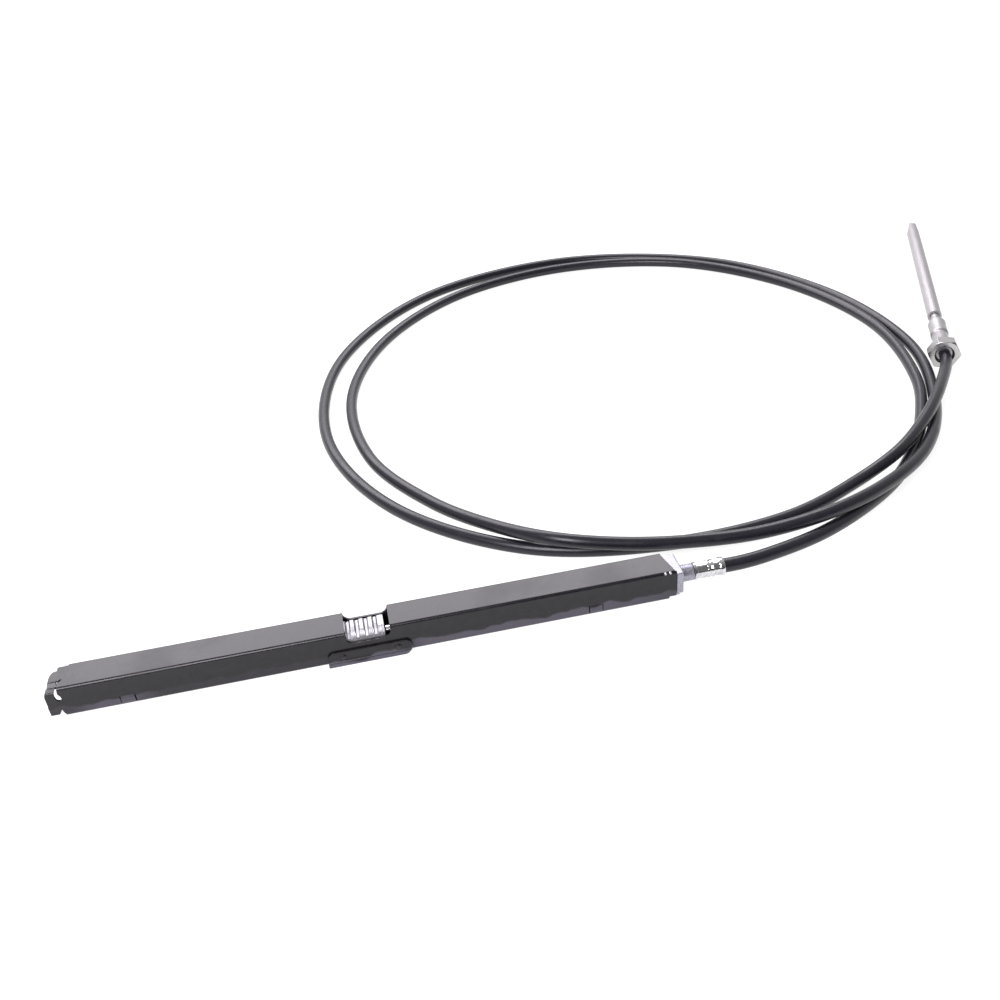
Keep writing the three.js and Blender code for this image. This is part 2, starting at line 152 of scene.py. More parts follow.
def block(name, low, high, material):
    """A box from its lowest and highest corners."""
    outline = [(low[1], low[2]), (high[1], low[2]), (high[1], high[2]), (low[1], high[2])]
    return prism(name, outline, "X", low[0], high[0], material)


def arc(centre, radius, start, end, steps):
    """Points along an arc, in degrees."""
    places = []
    for i in range(steps + 1):
        angle = math.radians(start + (end - start) * i / steps)
        places.append((centre[0] + radius * math.cos(angle), centre[1] + radius * math.sin(angle)))
    return places


def rounded_section(width, bottom, top, radius, steps=8):
    """Outline of a box section with rounded corners."""
    half = width / 2 - radius
    return (
        arc((half, bottom + radius), radius, -90, 0, steps)
        + arc((half, top - radius), radius, 0, 90, steps)
        + arc((-half, top - radius), radius, 90, 180, steps)
        + arc((-half, bottom + radius), radius, 180, 270, steps)
    )


def turned(name, profile, material, place, body=None, sides=64, shape=None, sharp=32):
    """A turned solid along its own X axis, from pairs of place and radius that start and end on the axis.

    shape, if given, changes the radius from the place along the axis, the radius and the angle round it.
    """
    verts = [(profile[0][0], 0, 0)]
    inner = profile[1:-1]
    for along, radius in inner:
        for i in range(sides):
            angle = 2 * math.pi * i / sides
            r = shape(along, radius, angle) if shape else radius
            verts.append((along, r * math.cos(angle), r * math.sin(angle)))
    verts.append((profile[-1][0], 0, 0))
    last = len(verts) - 1
    faces = []
    for i in range(sides):
        n = (i + 1) % sides
        faces.append([0, 1 + n, 1 + i])
        for k in range(len(inner) - 1):
            a = 1 + k * sides
            faces.append([a + i, a + n, a + sides + n, a + sides + i])
        a = 1 + (len(inner) - 1) * sides
        faces.append([last, a + i, a + n])
    verts = [place @ Vector(v) for v in verts]
    return make_object(name, verts, faces, material, body, sharp)


# Materials
def smooth_step(tree, value, low, high):
    """A soft step from 0 to 1 as a value passes from low to high."""
    node = tree.nodes.new("ShaderNodeMapRange")
    node.interpolation_type = "SMOOTHSTEP"
    node.inputs["From Min"].default_value = low
    node.inputs["From Max"].default_value = high
    tree.links.new(value, node.inputs["Value"])
    return node.outputs["Result"]


def math_node(tree, operation, first, second):
    """The result of a sum on two values, each a socket or a number."""
    node = tree.nodes.new("ShaderNodeMath")
    node.operation = operation
    for slot, value in enumerate((first, second)):
        if isinstance(value, (int, float)):
            node.inputs[slot].default_value = value
        else:
            tree.links.new(value, node.inputs[slot])
    return node.outputs["Value"]


def separate(tree, socket):
    """The X, Y and Z of a vector socket."""
    node = tree.nodes.new("ShaderNodeSeparateXYZ")
    tree.links.new(socket, node.inputs["Vector"])
    return node.outputs["X"], node.outputs["Y"], node.outputs["Z"]


def mix_colour(tree, factor, first, second):
    """A colour between two, each a socket or three numbers."""
    node = tree.nodes.new("ShaderNodeMix")
    node.data_type = "RGBA"
    tree.links.new(factor, node.inputs["Factor"])
    for slot, value in ((6, first), (7, second)):
        if isinstance(value, tuple):
            node.inputs[slot].default_value = (*value, 1)
        else:
            tree.links.new(value, node.inputs[slot])
    return node.outputs[2]


def surface(
    name, dark, light, roughness, metallic, grain, stretch=(1, 1, 1), turn=0, bump=0.1, scuffs=0, ior=1.5
):
    """A procedural material: a two-tone grain that also moves the roughness and the bump.

    grain is the size of the grain in millimetres, stretch makes it longer along an axis, and scuffs is
    how much of a second, coarser pattern of worn patches roughens the surface.
    """
    material = bpy.data.materials.new(name)
    material.use_nodes = True
    tree = material.node_tree
    nodes = tree.nodes
    links = tree.links
    shader = nodes["Principled BSDF"]
    shader.inputs["Metallic"].default_value = metallic
    shader.inputs["IOR"].default_value = ior
    coordinates = nodes.new("ShaderNodeTexCoord")
    mapping = nodes.new("ShaderNodeMapping")
    mapping.vector_type = "TEXTURE"
    mapping.inputs["Rotation"].default_value = (0, 0, turn)
    mapping.inputs["Scale"].default_value = stretch
    links.new(coordinates.outputs["Object"], mapping.inputs["Vector"])
    noise = nodes.new("ShaderNodeTexNoise")
    noise.inputs["Scale"].default_value = 1 / (grain * MM)
    noise.inputs["Detail"].default_value = 6
    links.new(mapping.outputs["Vector"], noise.inputs["Vector"])
    ramp = nodes.new("ShaderNodeValToRGB")
    ramp.color_ramp.elements[0].position = 0.32
    ramp.color_ramp.elements[0].color = (*dark, 1)
    ramp.color_ramp.elements[1].position = 0.68
    ramp.color_ramp.elements[1].color = (*light, 1)
    links.new(noise.outputs["Fac"], ramp.inputs["Fac"])
    links.new(ramp.outputs["Color"], shader.inputs["Base Color"])
    rough = nodes.new("ShaderNodeMapRange")
    rough.inputs["To Min"].default_value = roughness * 0.8
    rough.inputs["To Max"].default_value = roughness * 1.25
    links.new(noise.outputs["Fac"], rough.inputs["Value"])
    patches = nodes.new("ShaderNodeTexNoise")
    patches.inputs["Scale"].default_value = 1 / (9 * grain * MM)
    patches.inputs["Detail"].default_value = 3
    links.new(mapping.outputs["Vector"], patches.inputs["Vector"])
    worn = math_node(tree, "MULTIPLY", smooth_step(tree, patches.outputs["Fac"], 0.5, 0.72), scuffs)
    links.new(math_node(tree, "ADD", rough.outputs["Result"], worn), shader.inputs["Roughness"])
    relief = nodes.new("ShaderNodeBump")
    relief.inputs["Strength"].default_value = bump
    relief.inputs["Distance"].default_value = 0.2 * MM
    links.new(noise.outputs["Fac"], relief.inputs["Height"])
    links.new(relief.outputs["Normal"], shader.inputs["Normal"])
    return material


REFLECTION_BAND_REACH = 260


def add_painted_reflection_band(material, top, colour, spans):
    """A lighter wavy band along the foot of the front faces, a painted reflection of the pale floor on the
    black paint.

    top is the band's height, and spans are pairs of place along X and strength, the two ends first.
    """
    tree = material.node_tree
    shader = tree.nodes["Principled BSDF"]
    plain = shader.inputs["Base Color"].links[0].from_socket
    coordinates = tree.nodes.new("ShaderNodeTexCoord")
    geometry = tree.nodes.new("ShaderNodeNewGeometry")
    x, _, z = separate(tree, coordinates.outputs["Object"])
    wave = tree.nodes.new("ShaderNodeTexNoise")
    wave.noise_dimensions = "1D"
    wave.inputs["Scale"].default_value = 1 / (26 * MM)
    wave.inputs["Detail"].default_value = 1.5
    tree.links.new(x, wave.inputs["W"])
    lift = math_node(tree, "MULTIPLY", math_node(tree, "SUBTRACT", wave.outputs["Fac"], 0.5), 13 * MM)
    height = math_node(tree, "SUBTRACT", z, lift)
    low = smooth_step(tree, height, (top + 1.6) * MM, (top - 1.2) * MM)
    facing = smooth_step(tree, separate(tree, geometry.outputs["Normal"])[1], -0.55, -0.95)
    strength = tree.nodes.new("ShaderNodeValToRGB")
    elements = strength.color_ramp.elements
    for number, (place, value) in enumerate(spans):
        element = elements[number] if number < 2 else elements.new((place + REFLECTION_BAND_REACH) / (2 * REFLECTION_BAND_REACH))
        element.color = (value, value, value, 1)
    along = math_node(tree, "DIVIDE", math_node(tree, "ADD", x, REFLECTION_BAND_REACH * MM), 2 * REFLECTION_BAND_REACH * MM)
    tree.links.new(along, strength.inputs["Fac"])
    factor = math_node(tree, "MULTIPLY", math_node(tree, "MULTIPLY", low, facing), strength.outputs["Color"])
    tree.links.new(mix_colour(tree, factor, plain, colour), shader.inputs["Base Color"])


RAM_HEADING = math.radians(65.19)

PAINT_TONES = ((0.006, 0.0055, 0.0075), (0.011, 0.01, 0.0135))
paint = surface("black_paint", *PAINT_TONES, 0.25, 0, 7, bump=0.03, scuffs=0.08, ior=1.43)
# Painted reflection: the pale floor's reflection, painted as a lighter violet band along the foot of the
# housing's front faces, with its strength varying along X.
PAINT_REFLECTION_BAND = [
    (-REFLECTION_BAND_REACH, 0.1), (REFLECTION_BAND_REACH, 0.55), (-236, 0.25), (-215, 0.8), (-188, 0.7), (-165, 0.12),
    (20, 0.15), (45, 0.9), (200, 0.9),
]
add_painted_reflection_band(paint, 8.5, (0.072, 0.067, 0.088), PAINT_REFLECTION_BAND)
saddle_paint = surface("saddle_paint", *PAINT_TONES, 0.3, 0, 7, bump=0.03, scuffs=0.08, ior=1.43)
# Painted reflection of the floor along the foot of the saddle plate's front.
add_painted_reflection_band(saddle_paint, 4.2, (0.08, 0.076, 0.1), [(-REFLECTION_BAND_REACH, 0.9), (REFLECTION_BAND_REACH, 0.9)])
zinc = surface("cast_zinc", (0.24, 0.24, 0.28), (0.42, 0.42, 0.48), 0.42, 0.8, 1.1, bump=0.5)
rack_zinc = surface("rack_zinc", (0.2, 0.2, 0.21), (0.42, 0.42, 0.44), 0.36, 0.85, 0.9, bump=0.6, scuffs=0.15)
bright = surface("bright_steel", (0.5, 0.5, 0.52), (0.7, 0.7, 0.72), 0.12, 1, 3, bump=0.15)
stainless = surface(
    "stainless", (0.4, 0.39, 0.4), (0.5, 0.48, 0.495), 0.46, 1, 0.6, stretch=(40, 1, 1), turn=RAM_HEADING,
    bump=0.12, scuffs=0.1,
)
nut_steel = surface("nut_steel", (0.42, 0.41, 0.41), (0.56, 0.55, 0.55), 0.26, 1, 1.2, bump=0.12, scuffs=0.1)
jacket = surface(
    "black_jacket", (0.008, 0.008, 0.012), (0.014, 0.014, 0.021), 0.3, 0, 1.6,
    bump=0.06, scuffs=0.08, ior=1.45,
)


# Output end, drawn along its own X axis from the nut's near face
NUT_FACE = (679.9, 282.9)
OUTPUT_HEIGHT = 15.5
output = Matrix.Translation((NUT_FACE[0], NUT_FACE[1], OUTPUT_HEIGHT)) @ Matrix.Rotation(RAM_HEADING, 4, "Z")

# Cable
CABLE_DIAMETER = 12.4
CABLE_INTO_NUT = 3.5
FERRULE_RIGHT = 304.8
CABLE_AXIS = 13.5
SEAT_GAP = 0.3
ROUTE = [
    (319, 0, 13.5),
    (345, 3.5, 13.2),
    (412, 23, 11.8),
    (502, 77, 6.5),
    (547, 119, 6.4),
    (589, 174, 6.3),
    (634, 262, 6.6),
    (657.6, 408, 6.5),
    (611, 560, 6.5),
    (504, 678, 6.3),
    (352, 721, 6.3),
    (198, 685, 6.3),
    (80, 578, 6.3),
    (20, 432, 6.3),
    (28, 282, 6.6),
    (77, 184, 6.9),
    (125, 118, 14),
    (174, 68, 22.8),
    (229, 50, 18.2),
    (287, 40, 14.6),
    (350, 32, 15.9),
    (413, 32, 23.2),
    (486, 60, 22),
    (561, 117, 14.7),
    (627.5, 213.5, 7.2),
    (670, 340.5, 6.6),
    (650, 509, 6.3),
    (547, 666, 6.4),
    (355, 745, 6.3),
    (155, 698, 6.3),
    (19, 541, 6.4),
    (-15, 345, 6.3),
    (40, 186, 6.3),
    (149, 85, 6.3),
    (274, 52, 6.3),
    (393, 59, 6.5),
    (480, 94, 7.6),
    (531, 116, 16.9),
    (576, 152, 20.4),
    (617, 195, 21.6),
]


def smooth_curve(knots, step):
    """Even points along a centripetal Catmull-Rom curve through the knots."""
    knots = [Vector(k) for k in knots]
    knots = [2 * knots[0] - knots[1]] + knots + [2 * knots[-1] - knots[-2]]
    fine = []
    for a, b, c, d in zip(knots, knots[1:], knots[2:], knots[3:]):
        t1 = math.sqrt((b - a).length)
        t2 = t1 + math.sqrt((c - b).length)
        t3 = t2 + math.sqrt((d - c).length)
        for i in range(60):
            t = t1 + (t2 - t1) * i / 60
            ab = a * (t1 - t) / t1 + b * t / t1
            bc = b * (t2 - t) / (t2 - t1) + c * (t - t1) / (t2 - t1)
            cd = c * (t3 - t) / (t3 - t2) + d * (t - t2) / (t3 - t2)
            abc = ab * (t2 - t) / t2 + bc * t / t2
            bcd = bc * (t3 - t) / (t3 - t1) + cd * (t - t1) / (t3 - t1)
            fine.append(abc * (t2 - t) / (t2 - t1) + bcd * (t - t1) / (t2 - t1))
    fine.append(knots[-2])
    lengths = [0]
    for a, b in zip(fine, fine[1:]):
        lengths.append(lengths[-1] + (b - a).length)
    count = round(lengths[-1] / step)
    even = []
    k = 0
    for i in range(count + 1):
        goal = lengths[-1] * i / count
        while k < len(fine) - 2 and lengths[k + 1] < goal:
            k += 1
        share = (goal - lengths[k]) / (lengths[k + 1] - lengths[k])
        even.append(fine[k].lerp(fine[k + 1], min(max(share, 0), 1)))
    return even, lengths[-1]


def swept(name, path, radius, material, body, sides=24):
    """A round bar along a path."""
    verts = []
    side = Vector((0, 0, 1))
    for i, place in enumerate(path):
        ahead = path[min(i + 1, len(path) - 1)] - path[max(i - 1, 0)]
        ahead.normalize()
        side = (side - ahead * side.dot(ahead)).normalized()
        across = ahead.cross(side)
        for k in range(sides):
            angle = 2 * math.pi * k / sides
            verts.append(place + (side * math.cos(angle) + across * math.sin(angle)) * radius)
    faces = []
    for i in range(len(path) - 1):
        for k in range(sides):
            n = (k + 1) % sides
            faces.append([i * sides + k, i * sides + n, (i + 1) * sides + n, (i + 1) * sides + k])
    faces.append(list(range(sides))[::-1])
    faces.append(list(range((len(path) - 1) * sides, len(path) * sides)))
    obj = make_object(name, verts, faces, material, body)
    fix_normals(obj)
    return obj


cable_start = Vector((FERRULE_RIGHT + SEAT_GAP, 0, CABLE_AXIS))
cable_before_end = output @ Vector((CABLE_INTO_NUT - 1.5 * CABLE_DIAMETER, 0, 0))
cable_end = output @ Vector((CABLE_INTO_NUT, 0, 0))
cable_path, cable_length = smooth_curve([cable_start] + ROUTE + [cable_before_end, cable_end], 7)
cable = swept("cable", cable_path, CABLE_DIAMETER / 2, jacket, "base")
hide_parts("cable_jacket")

# Rack housing
WIDTH = 28.9
HEIGHT = 29
SHEET = 1.8
FOLD = 2.6
LEFT = -241
RIGHT = 258.5
FRONT = -WIDTH / 2
BACK = WIDTH / 2
OVER = 3
FLAP_REACH = 11
CUT_HALF = 18.2
CUT_RADIUS = 6.5
FRONT_CUT = 10.9
BACK_CUT = 8
BRIDGES = (-192.4, 188.6)
BRIDGE_HALF = 5.4
SHEAR_PLACE = 5.8
SHEAR_WIDTH = 0.7


def cut_outline(depth):
    """Outline of the pinion cut-out in one wall, in X and Z."""
    centre = HEIGHT - depth + CUT_RADIUS
    return (
        [(CUT_HALF, HEIGHT + OVER), (-CUT_HALF, HEIGHT + OVER)]
        + arc((CUT_RADIUS - CUT_HALF, centre), CUT_RADIUS, 180, 270, 10)
        + arc((CUT_HALF - CUT_RADIUS, centre), CUT_RADIUS, 270, 360, 10)
    )


def cut(outline, axis, low, high):
    """Cut a prism out of the housing."""
    combine(housing, prism("cut", outline, axis, low, high, paint))


housing = prism("housing", rounded_section(WIDTH, 0, HEIGHT, FOLD), "X", LEFT, RIGHT, paint)
cut(rounded_section(WIDTH - 2 * SHEET, SHEET, HEIGHT - SHEET, FOLD - SHEET), "X", LEFT - OVER, RIGHT + OVER)

# Flap at the left end, with its front corner pressed down
flap_section = (
    [(FRONT, 3), (FRONT + SHEET, 3), (FRONT + SHEET, 23.8), (-7.6, 24), (-5, HEIGHT - SHEET)]
    + [(BACK - FOLD, HEIGHT - SHEET), (BACK - SHEET, HEIGHT - FOLD), (BACK - SHEET, 3), (BACK, 3)]
    + arc((BACK - FOLD, HEIGHT - FOLD), FOLD, 0, 90, 6)
    + [(-5.1, HEIGHT), (-6.1, 28.6), (-8.1, 26.1), (-8.6, 25.75)]
    + arc((FRONT + 1.3, 24.3), 1.3, 90, 180, 5)
)
combine(housing, prism("flap", flap_section, "X", LEFT - FLAP_REACH, LEFT + SHEET, paint), "UNION")
cut(cut_outline(FRONT_CUT), "Y", FRONT - OVER, 0)
cut(cut_outline(BACK_CUT), "Y", -1, BACK + OVER)
slot_outline = [
    (LEFT - 2.9, 18), (LEFT - 2.2, 16.8), (LEFT - 0.6, 16.3), (LEFT + 0.9, 16.9), (LEFT + 1.5, 18.2),
    (LEFT + 1.2, 20.5), (LEFT - 0.3, 23.4), (LEFT - 0.6, 31), (LEFT - 1.9, 31), (LEFT - 2.3, 26),
    (LEFT - 3.1, 23.6), (LEFT - 3.4, 20.5),
]
cut(slot_outline, "Y", FRONT - OVER, -8.3)
combine(housing, block("slit", (LEFT - 1.3, -8.6, 22), (LEFT - 0.5, -4.6, HEIGHT + OVER), paint))
bottom_notch = [
    (LEFT - 4.6, -OVER), (LEFT + 0.6, -OVER), (LEFT + 0.3, 0.4), (LEFT - 1.6, 7.4), (LEFT - 4.4, 3),
]
cut(bottom_notch, "Y", FRONT - OVER, BACK + OVER)
flap_edge = [
    (LEFT - 12, 11.5), (LEFT - 10.6, 11.8), (LEFT - 10.4, 22.5), (LEFT - 9.3, 26), (LEFT - 9.3, 31),
    (LEFT - 12, 31),
]
cut(flap_edge, "Y", FRONT - OVER, -7)
flap_trim = [
    (LEFT - 12, -9.6), (LEFT - 9.6, -9.4), (LEFT - 8.5, -8), (LEFT - 7.6, -5.6), (LEFT - 7.7, -0.8),
    (LEFT - 7.2, 2.4), (LEFT - 6.4, 4.8), (LEFT - 5.2, 6.3), (LEFT - 3.8, 6.8), (LEFT - 2.8, 6.9),
    (LEFT - 2.8, 20), (LEFT - 12, 20),
]
cut(flap_trim, "Z", -OVER, HEIGHT + OVER)
back_step = [(LEFT - 4, 6.9), (LEFT + 1.6, 7), (LEFT + 3.4, 9.5), (LEFT + 3.6, 18), (LEFT - 4, 18)]
cut(back_step, "Z", 28, HEIGHT + OVER)
back_notch = [
    (LEFT - 4, 18), (LEFT - 4, 12.3), (LEFT + 4, 11.9), (LEFT + 5.4, 11.3), (LEFT + 7.2, 14.2),
    (LEFT + 8, 18),
]
cut(back_notch, "Z", 26.4, HEIGHT + OVER)
relief_slant = Matrix.Rotation(math.radians(48), 2)
relief = [Vector((1.9 * u, 0.95 * v)) for u, v in arc((0, 0), 1, 0, 360, 16)[:-1]]
relief = [Vector((LEFT + 1.5, -5.2)) + relief_slant @ place for place in relief]
cut(relief, "Z", 20, HEIGHT + OVER)

# Right end, with a cut lower corner and a slanted top edge
end_corner = [(251.5, -OVER), (RIGHT + OVER, -OVER), (RIGHT + OVER, 3.5), (252.6, 3.5)]
cut(end_corner, "Y", FRONT - OVER, -6)
end_skew = [
    (252.4, BACK + OVER), (RIGHT + OVER, BACK + OVER), (RIGHT + OVER, -12.7), (257.4, -12.7), (252.6, 10.6),
]
cut(end_skew, "Z", 22, HEIGHT + OVER)
for centre in BRIDGES:
    for side in (-SHEAR_PLACE, SHEAR_PLACE):
        low = (centre + side - SHEAR_WIDTH / 2, FRONT - OVER, 2.5)
        high = (centre + side + SHEAR_WIDTH / 2, FRONT + SHEET + 0.5, 9.8)
        combine(housing, block("shear", low, high, paint))
round_edges(housing, 0.3)
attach(housing, "base")
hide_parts("rack_housing")

# Bridges pressed out of the front wall, between two shear slots
rise = [
    (FRONT + 0.4, 2.4), (FRONT - 0.3, 2.8), (FRONT - 0.75, 4), (FRONT - 0.8, 6), (FRONT - 0.75, 8),
    (FRONT - 0.3, 9.2), (FRONT + 0.4, 9.6),
]
for index, centre in enumerate(BRIDGES):
    bridge = prism(f"bridge_{index}", rise, "X", centre - BRIDGE_HALF, centre + BRIDGE_HALF, paint)
    round_edges(bridge, 0.15)
    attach(bridge, "base")

# Saddle plate with its flared foot, and its rivets
SADDLE_LEFT = -35
SADDLE_RIGHT = 34
SADDLE_TOP = 12.8
SADDLE_CORNER = 6
RIVET_RADIUS = 2.7
RIVET_RISE = 1.2
RIVET_HEIGHT = 7.6
RIVETS = ((-22.4, "saddle_rivet_left"), (22.2, "saddle_rivet_right"))
face = FRONT - SEAT_GAP
saddle_section = (
    [(face, SADDLE_TOP), (face - 1.4, SADDLE_TOP), (face - 1.8, 12.2), (face - 1.9, 6)]
    + arc((face - 3.9, 5.2), 2, 12, -70, 6)
    + [(face - 3.9, 1.6), (face - 4, 0.2), (face - 2.9, 0), (face - 1.6, 0.8), (face - 0.6, 2), (face, 3.4)]
)
saddle_outline = (
    [(SADDLE_LEFT, 1), (-33.5, -1), (25, -1), (29.5, 0.8), (SADDLE_RIGHT, 4.6)]
    + arc((SADDLE_RIGHT - SADDLE_CORNER, SADDLE_TOP - SADDLE_CORNER), SADDLE_CORNER, 0, 90, 8)
    + arc((SADDLE_LEFT + SADDLE_CORNER, SADDLE_TOP - SADDLE_CORNER), SADDLE_CORNER, 90, 180, 8)
)
saddle = prism("saddle", saddle_section, "X", SADDLE_LEFT, SADDLE_RIGHT, saddle_paint)
saddle_blank = prism("saddle_blank", saddle_outline, "Y", face - 12, face + OVER, saddle_paint)
combine(saddle, saddle_blank, "INTERSECT")
round_edges(saddle, 0.9, 4)
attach(saddle, "base")
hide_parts("saddle_plate")
dome = [(-SEAT_GAP, 0), (-SEAT_GAP, RIVET_RADIUS)]
for step in range(1, 8):
    angle = step * math.pi / 16
    dome.append((RIVET_RISE * math.sin(angle), RIVET_RADIUS * math.cos(angle)))
dome.append((RIVET_RISE, 0))
for index, (x, node) in enumerate(RIVETS):
    place = Matrix.Translation((x, face - 2, RIVET_HEIGHT)) @ Matrix.Rotation(-math.pi / 2, 4, "Z")
    rivet = turned(f"rivet_{index}", dome, paint, place, "base", 32)
    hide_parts(node)

# Rack, a round bar with teeth cut across its top
RACK_RADIUS = (HEIGHT - 2 * SHEET) / 2 - 0.35
RACK_AXIS = HEIGHT / 2
RACK_LEFT = -236
RACK_RIGHT = 14
CREST = 25.2
PITCH = 7.33
TEETH = 33
TOOTH_DEPTH = 4.6
GROOVE_HALF = 0.85
FLANK_HALF = 2.2
END_CHAMFER = 0.4


def rack_height(x):
    """Height of the rack's top at a place along it."""
    along = (RACK_RIGHT - PITCH - x) / PITCH
    away = abs(along - round(along)) * PITCH
    if round(along) < 0 or round(along) >= TEETH:
        return CREST
    share = min(max((away - GROOVE_HALF) / (FLANK_HALF - GROOVE_HALF), 0), 1)
    share = share * share * (3 - 2 * share)
    return CREST - TOOTH_DEPTH * (1 - share)


def rack_bar():
    """The toothed bar as rings of points, each a circle with its top cut off level."""
    stations = [RACK_LEFT, RACK_LEFT + END_CHAMFER]
    rises = [0.7, 0.95, 1.2, 1.45, 1.7, 1.95, 2.2, 2.5]
    offsets = [-rise for rise in reversed(rises)] + [0] + rises
    for tooth in reversed(range(TEETH)):
        stations += [RACK_RIGHT - PITCH * (tooth + 1) + offset for offset in offsets]
    stations += [RACK_RIGHT - END_CHAMFER, RACK_RIGHT]
    lower = 40
    upper = 10
    verts = []
    for number, x in enumerate(stations):
        chamfer = END_CHAMFER if number in (0, len(stations) - 1) else 0
        radius = RACK_RADIUS - chamfer
        top = rack_height(x) - chamfer
        tilt = math.asin((top - RACK_AXIS) / radius)
        for i in range(lower + 1):
            angle = math.pi - tilt + (math.pi + 2 * tilt) * i / lower
            verts.append((x, radius * math.cos(angle), RACK_AXIS + radius * math.sin(angle)))
        half = radius * math.cos(tilt)
        for i in range(1, upper):
            verts.append((x, half - 2 * half * i / upper, top))
    size = lower + upper
    faces = [list(range(size)), list(range((len(stations) - 1) * size, len(stations) * size))[::-1]]
    for k in range(len(stations) - 1):
        for i in range(size):
            n = (i + 1) % size
            faces.append([k * size + i, k * size + n, (k + 1) * size + n, (k + 1) * size + i])
    return verts, faces


rack = make_object("rack_bar", *rack_bar(), rack_zinc, "rack")
fix_normals(rack)
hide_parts("rack")

# Core rod, on a mesh of its own
rod_profile = [(14.3, 0), (14.3, 3.6), (14.7, 4), (243.8, 4), (244.2, 3.6), (244.2, 0)]
rod = turned("core_rod_bar", rod_profile, bright, Matrix.Translation((0, 0, CABLE_AXIS)), "base", 40)
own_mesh(rod)
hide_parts("core_rod")

# End fitting: block, plate and boss
PLATE_LEFT = 258.8
PLATE_RIGHT = 265
BOSS_RIGHT = 277.5
plate_outline = [(-14.1, 5.2), (-9.4, 1), (9.4, 1), (14.1, 5.2), (14.1, 25.8), (-14.1, 25.8)]
fitting = prism("fitting", plate_outline, "X", PLATE_LEFT, PLATE_RIGHT, zinc)
round_edges(fitting, 1.2, 4)
fitting.modifiers.clear()
combine(fitting, block("insert", (244.5, -12.35, 2.1), (262, 12.35, 23), zinc), "UNION")
wedge = [(253.4, 12.6), (262, 12.6), (262, -12.4), (258.9, -12.4), (258.4, -11.6), (253.8, 9.4)]
combine(fitting, prism("wedge", wedge, "Z", 22.5, 25.7, zinc), "UNION")
boss_profile = [
    (262, 0), (262, 7.2), (264.6, 7.9), (265.2, 7.35), (265.8, 7.2), (276.6, 7.2), (277.3, 6.9),
    (BOSS_RIGHT, 6.4), (BOSS_RIGHT, 0),
]
combine(fitting, turned("boss", boss_profile, zinc, Matrix.Translation((0, 0, CABLE_AXIS))), "UNION")
fitting.modifiers.new("normals", "WEIGHTED_NORMAL").keep_sharp = True
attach(fitting, "base")
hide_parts("end_fitting")

# Stakes on the housing's top front fold
STAKES = ((248.6, "stake_left"), (252.8, "stake_right"))
head = [(0, 0), (0, 1.3), (0.35, 1.25), (0.7, 0.9), (0.85, 0.5), (0.6, 0.2), (0.55, 0)]
seat = (FOLD + 0.1) * math.sqrt(0.5)
outwards = Matrix.Rotation(math.pi / 4, 4, "X") @ Matrix.Rotation(-math.pi / 2, 4, "Y")
for index, (x, node) in enumerate(STAKES):
    place = Matrix.Translation((x, FRONT + FOLD - seat, HEIGHT - FOLD + seat)) @ outwards
    stake = turned(f"stake_{index}", head, bright, place, "base", 24)
    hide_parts(node)

# Crimped ferrule: two bands of flats, with a groove between them and a rim at the cable's end
FERRULE_LEFT = 277.8
FLAT_REACH = 7.05


def crimp(along, radius, angle):
    """Flats pressed into the two bands of the ferrule."""
    local = along - FERRULE_LEFT
    in_band = 2.2 < local < 12 or 17.2 < local < 22.6
    if not in_band:
        return radius
    spread = (angle + math.pi / 8) % (math.pi / 4) - math.pi / 8
    return min(radius, FLAT_REACH / math.cos(spread))


ferrule_profile = [(0, 0), (0, 7), (0.6, 7.6), (1.6, 7.7), (2.1, 7.6), (2.5, 7.4)]
ferrule_profile += [(2.5 + 0.9 * i, 7.4) for i in range(1, 11)]
ferrule_profile += [(12.1, 7.6), (12.6, 7.7), (13.4, 7.5), (14, 7), (14.5, 6.9), (15, 7), (15.8, 7.5)]
ferrule_profile += [(16.6, 7.7), (17.1, 7.6)]
ferrule_profile += [(17.5 + 0.9 * i, 7.4) for i in range(6)]
ferrule_profile += [(22.7, 7.6), (23.4, 7.95), (24.4, 8), (26, 8), (26.7, 7.7), (27, 7.2), (27, 0)]
ferrule = turned(
    "ferrule", [(FERRULE_LEFT + a, r) for a, r in ferrule_profile], bright,
    Matrix.Translation((0, 0, CABLE_AXIS)), "base", 96, crimp, 24,
)
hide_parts("crimp_ferrule")

# Coupling nut with a countersunk, threaded bore
FLATS = 31
NUT_LENGTH = 15
BORE_RADIUS = 9.6
THREAD_PITCH = 1.5
corner = FLATS / math.sqrt(3)
hexagon = [(corner * math.cos(i * math.pi / 3), corner * math.sin(i * math.pi / 3)) for i in range(6)]
nut = prism("nut", hexagon, "X", 0, NUT_LENGTH, nut_steel)
round_edges(nut, 0.5, 3)
nut.modifiers.clear()
cone = [
    (0, 0), (0, 15.3), (0.5, 16.2), (1.4, 18.2), (13.6, 18.2), (14.5, 16.2), (NUT_LENGTH, 15.3),
    (NUT_LENGTH, 0),
]
combine(nut, turned("nut_cone", cone, nut_steel, Matrix.Identity(4), sides=96), "INTERSECT")
bore = [(-2, 0), (-2, 12.4), (0, 10.6), (1, 9.75)]
for turn in range(8):
    start = 1.6 + THREAD_PITCH * turn
    bore += [(start, BORE_RADIUS), (start + THREAD_PITCH / 2, 9.95), (start + 1.45, BORE_RADIUS)]
bore += [(NUT_LENGTH + 2, BORE_RADIUS), (NUT_LENGTH + 2, 0)]
combine(nut, turned("nut_bore", bore, nut_steel, Matrix.Identity(4), sides=96))
nut.data.transform(Matrix.Translation(output.translation * MM) @ Matrix.Rotation(RAM_HEADING, 4, "Z"))
nut.modifiers.new("normals", "WEIGHTED_NORMAL").keep_sharp = True
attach(nut, "nut")
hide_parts("coupling_nut")

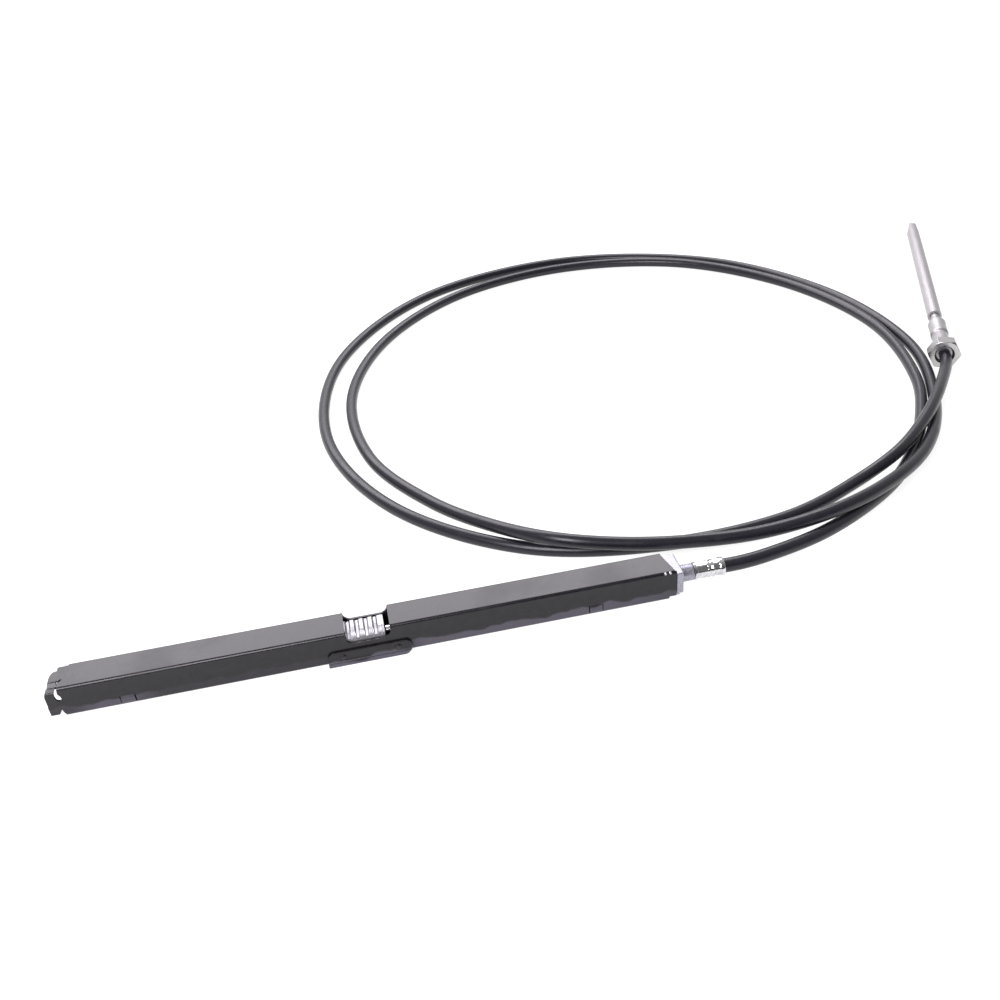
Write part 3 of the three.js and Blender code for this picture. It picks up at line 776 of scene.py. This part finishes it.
# Support tube with its swaged collars
tube_profile = [
    (3.8, 0), (3.8, 8.4), (4.3, 8.8), (46.5, 8.8), (47.4, 8.5), (48.2, 8.2), (49, 8.4), (50, 9.3),
    (51.2, 9.8), (52.4, 9.9), (56, 9.7), (60, 9.5), (74, 9.5), (77, 9.75), (79.6, 9.9), (81, 9.5),
    (82, 8.4), (82.6, 6.4), (82.8, 5), (371.4, 5), (372, 4.5), (372, 0),
]
tube = turned("support_bar", tube_profile, stainless, output, "base", 72)
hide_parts("support_tube")

# Output ram, flattened at its tip, with a cross hole
RAM_RADIUS = 7.95
RAM_BORE = 5.4
RAM_START = 103
RAM_END = 417
ram = prism("ram", arc((0, 0), RAM_RADIUS, 0, 360, 72)[:-1], "X", RAM_START, RAM_END, stainless)
combine(ram, prism("ram_bore", arc((0, 0), RAM_BORE, 0, 360, 48)[:-1], "X", RAM_START - 3, 380, stainless))
tip_edges = {
    -1: [(388.5, 7.96), (390.5, 5.6), (404, 5), (412, 3.9), (420, 1.5)],
    1: [(385.5, 7.96), (392, 6.7), (404, 4.9), (412, 3.6), (420, 1.2)],
}
for side, edge in tip_edges.items():
    shoulder = [(edge[0][0], side * 12)]
    shoulder += [(along, side * reach) for along, reach in edge]
    shoulder.append((420, side * 12))
    combine(ram, prism("tip_flat", shoulder, "Z", -12, 12, stainless))
    taper = [(402, side * 12), (402, side * 7.95), (414, side * 5.6), (418, side * 3), (420, side * 12)]
    tip = prism("tip_taper", taper, "Y", -12, 12, stainless)
    combine(ram, tip)
hole = prism("tip_hole", arc((400, 0), 4.8, 0, 360, 36)[:-1], "Y", -12, 12, stainless)
combine(ram, hole)
round_edges(ram, 0.5, 3)
ram.data.transform(Matrix.Translation(output.translation * MM) @ Matrix.Rotation(RAM_HEADING, 4, "Z"))
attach(ram, "ram")
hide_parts("output_ram")

# Floor and lights
FLOOR_REACH = 40000
floor_material = bpy.data.materials.new("floor")
floor_material.use_nodes = True
floor_shader = floor_material.node_tree.nodes["Principled BSDF"]
floor_shader.inputs["Base Color"].default_value = (0.3, 0.3, 0.3, 1)
floor_shader.inputs["Roughness"].default_value = 0.9
floor_shader.inputs["Specular IOR Level"].default_value = 0.1
floor_shader.inputs["Emission Color"].default_value = (1, 1, 1, 1)
floor_shader.inputs["Emission Strength"].default_value = 0.85
floor = make_object("floor", [
    (-FLOOR_REACH, -FLOOR_REACH, 0), (FLOOR_REACH, -FLOOR_REACH, 0),
    (FLOOR_REACH, FLOOR_REACH, 0), (-FLOOR_REACH, FLOOR_REACH, 0),
], [[0, 1, 2, 3]], floor_material)

# The studio is darker in front of the object than behind it
world = bpy.data.worlds.new("studio")
bpy.context.scene.world = world
world.use_nodes = True
studio = world.node_tree
direction = studio.nodes.new("ShaderNodeTexCoord")
level = studio.nodes.new("ShaderNodeMapRange")
level.inputs["From Min"].default_value = -1
level.inputs["To Min"].default_value = 0.05
level.inputs["To Max"].default_value = 0.95
studio.links.new(separate(studio, direction.outputs["Generated"])[1], level.inputs["Value"])
studio.nodes["Background"].inputs["Color"].default_value = (1, 1, 1, 1)
studio.links.new(level.outputs["Result"], studio.nodes["Background"].inputs["Strength"])


def softbox(name, place, target, size, power):
    """A rectangular area light that faces its target. Places are in metres."""
    data = bpy.data.lights.new(name, "AREA")
    data.shape = "RECTANGLE"
    data.size = size[0]
    data.size_y = size[1]
    data.energy = power
    data.color = (0.98, 0.94, 1)
    light = bpy.data.objects.new(name, data)
    light.location = place
    light.rotation_euler = (Vector(target) - Vector(place)).to_track_quat("-Z", "Y").to_euler()
    bpy.context.scene.collection.objects.link(light)


softbox("back", (0, 1.5, 1.28), (0, 0, 0), (2.4, 1), 40)
softbox("front_left", (-0.55, -0.95, 1.15), (-0.25, 0, 0), (0.9, 0.9), 30)
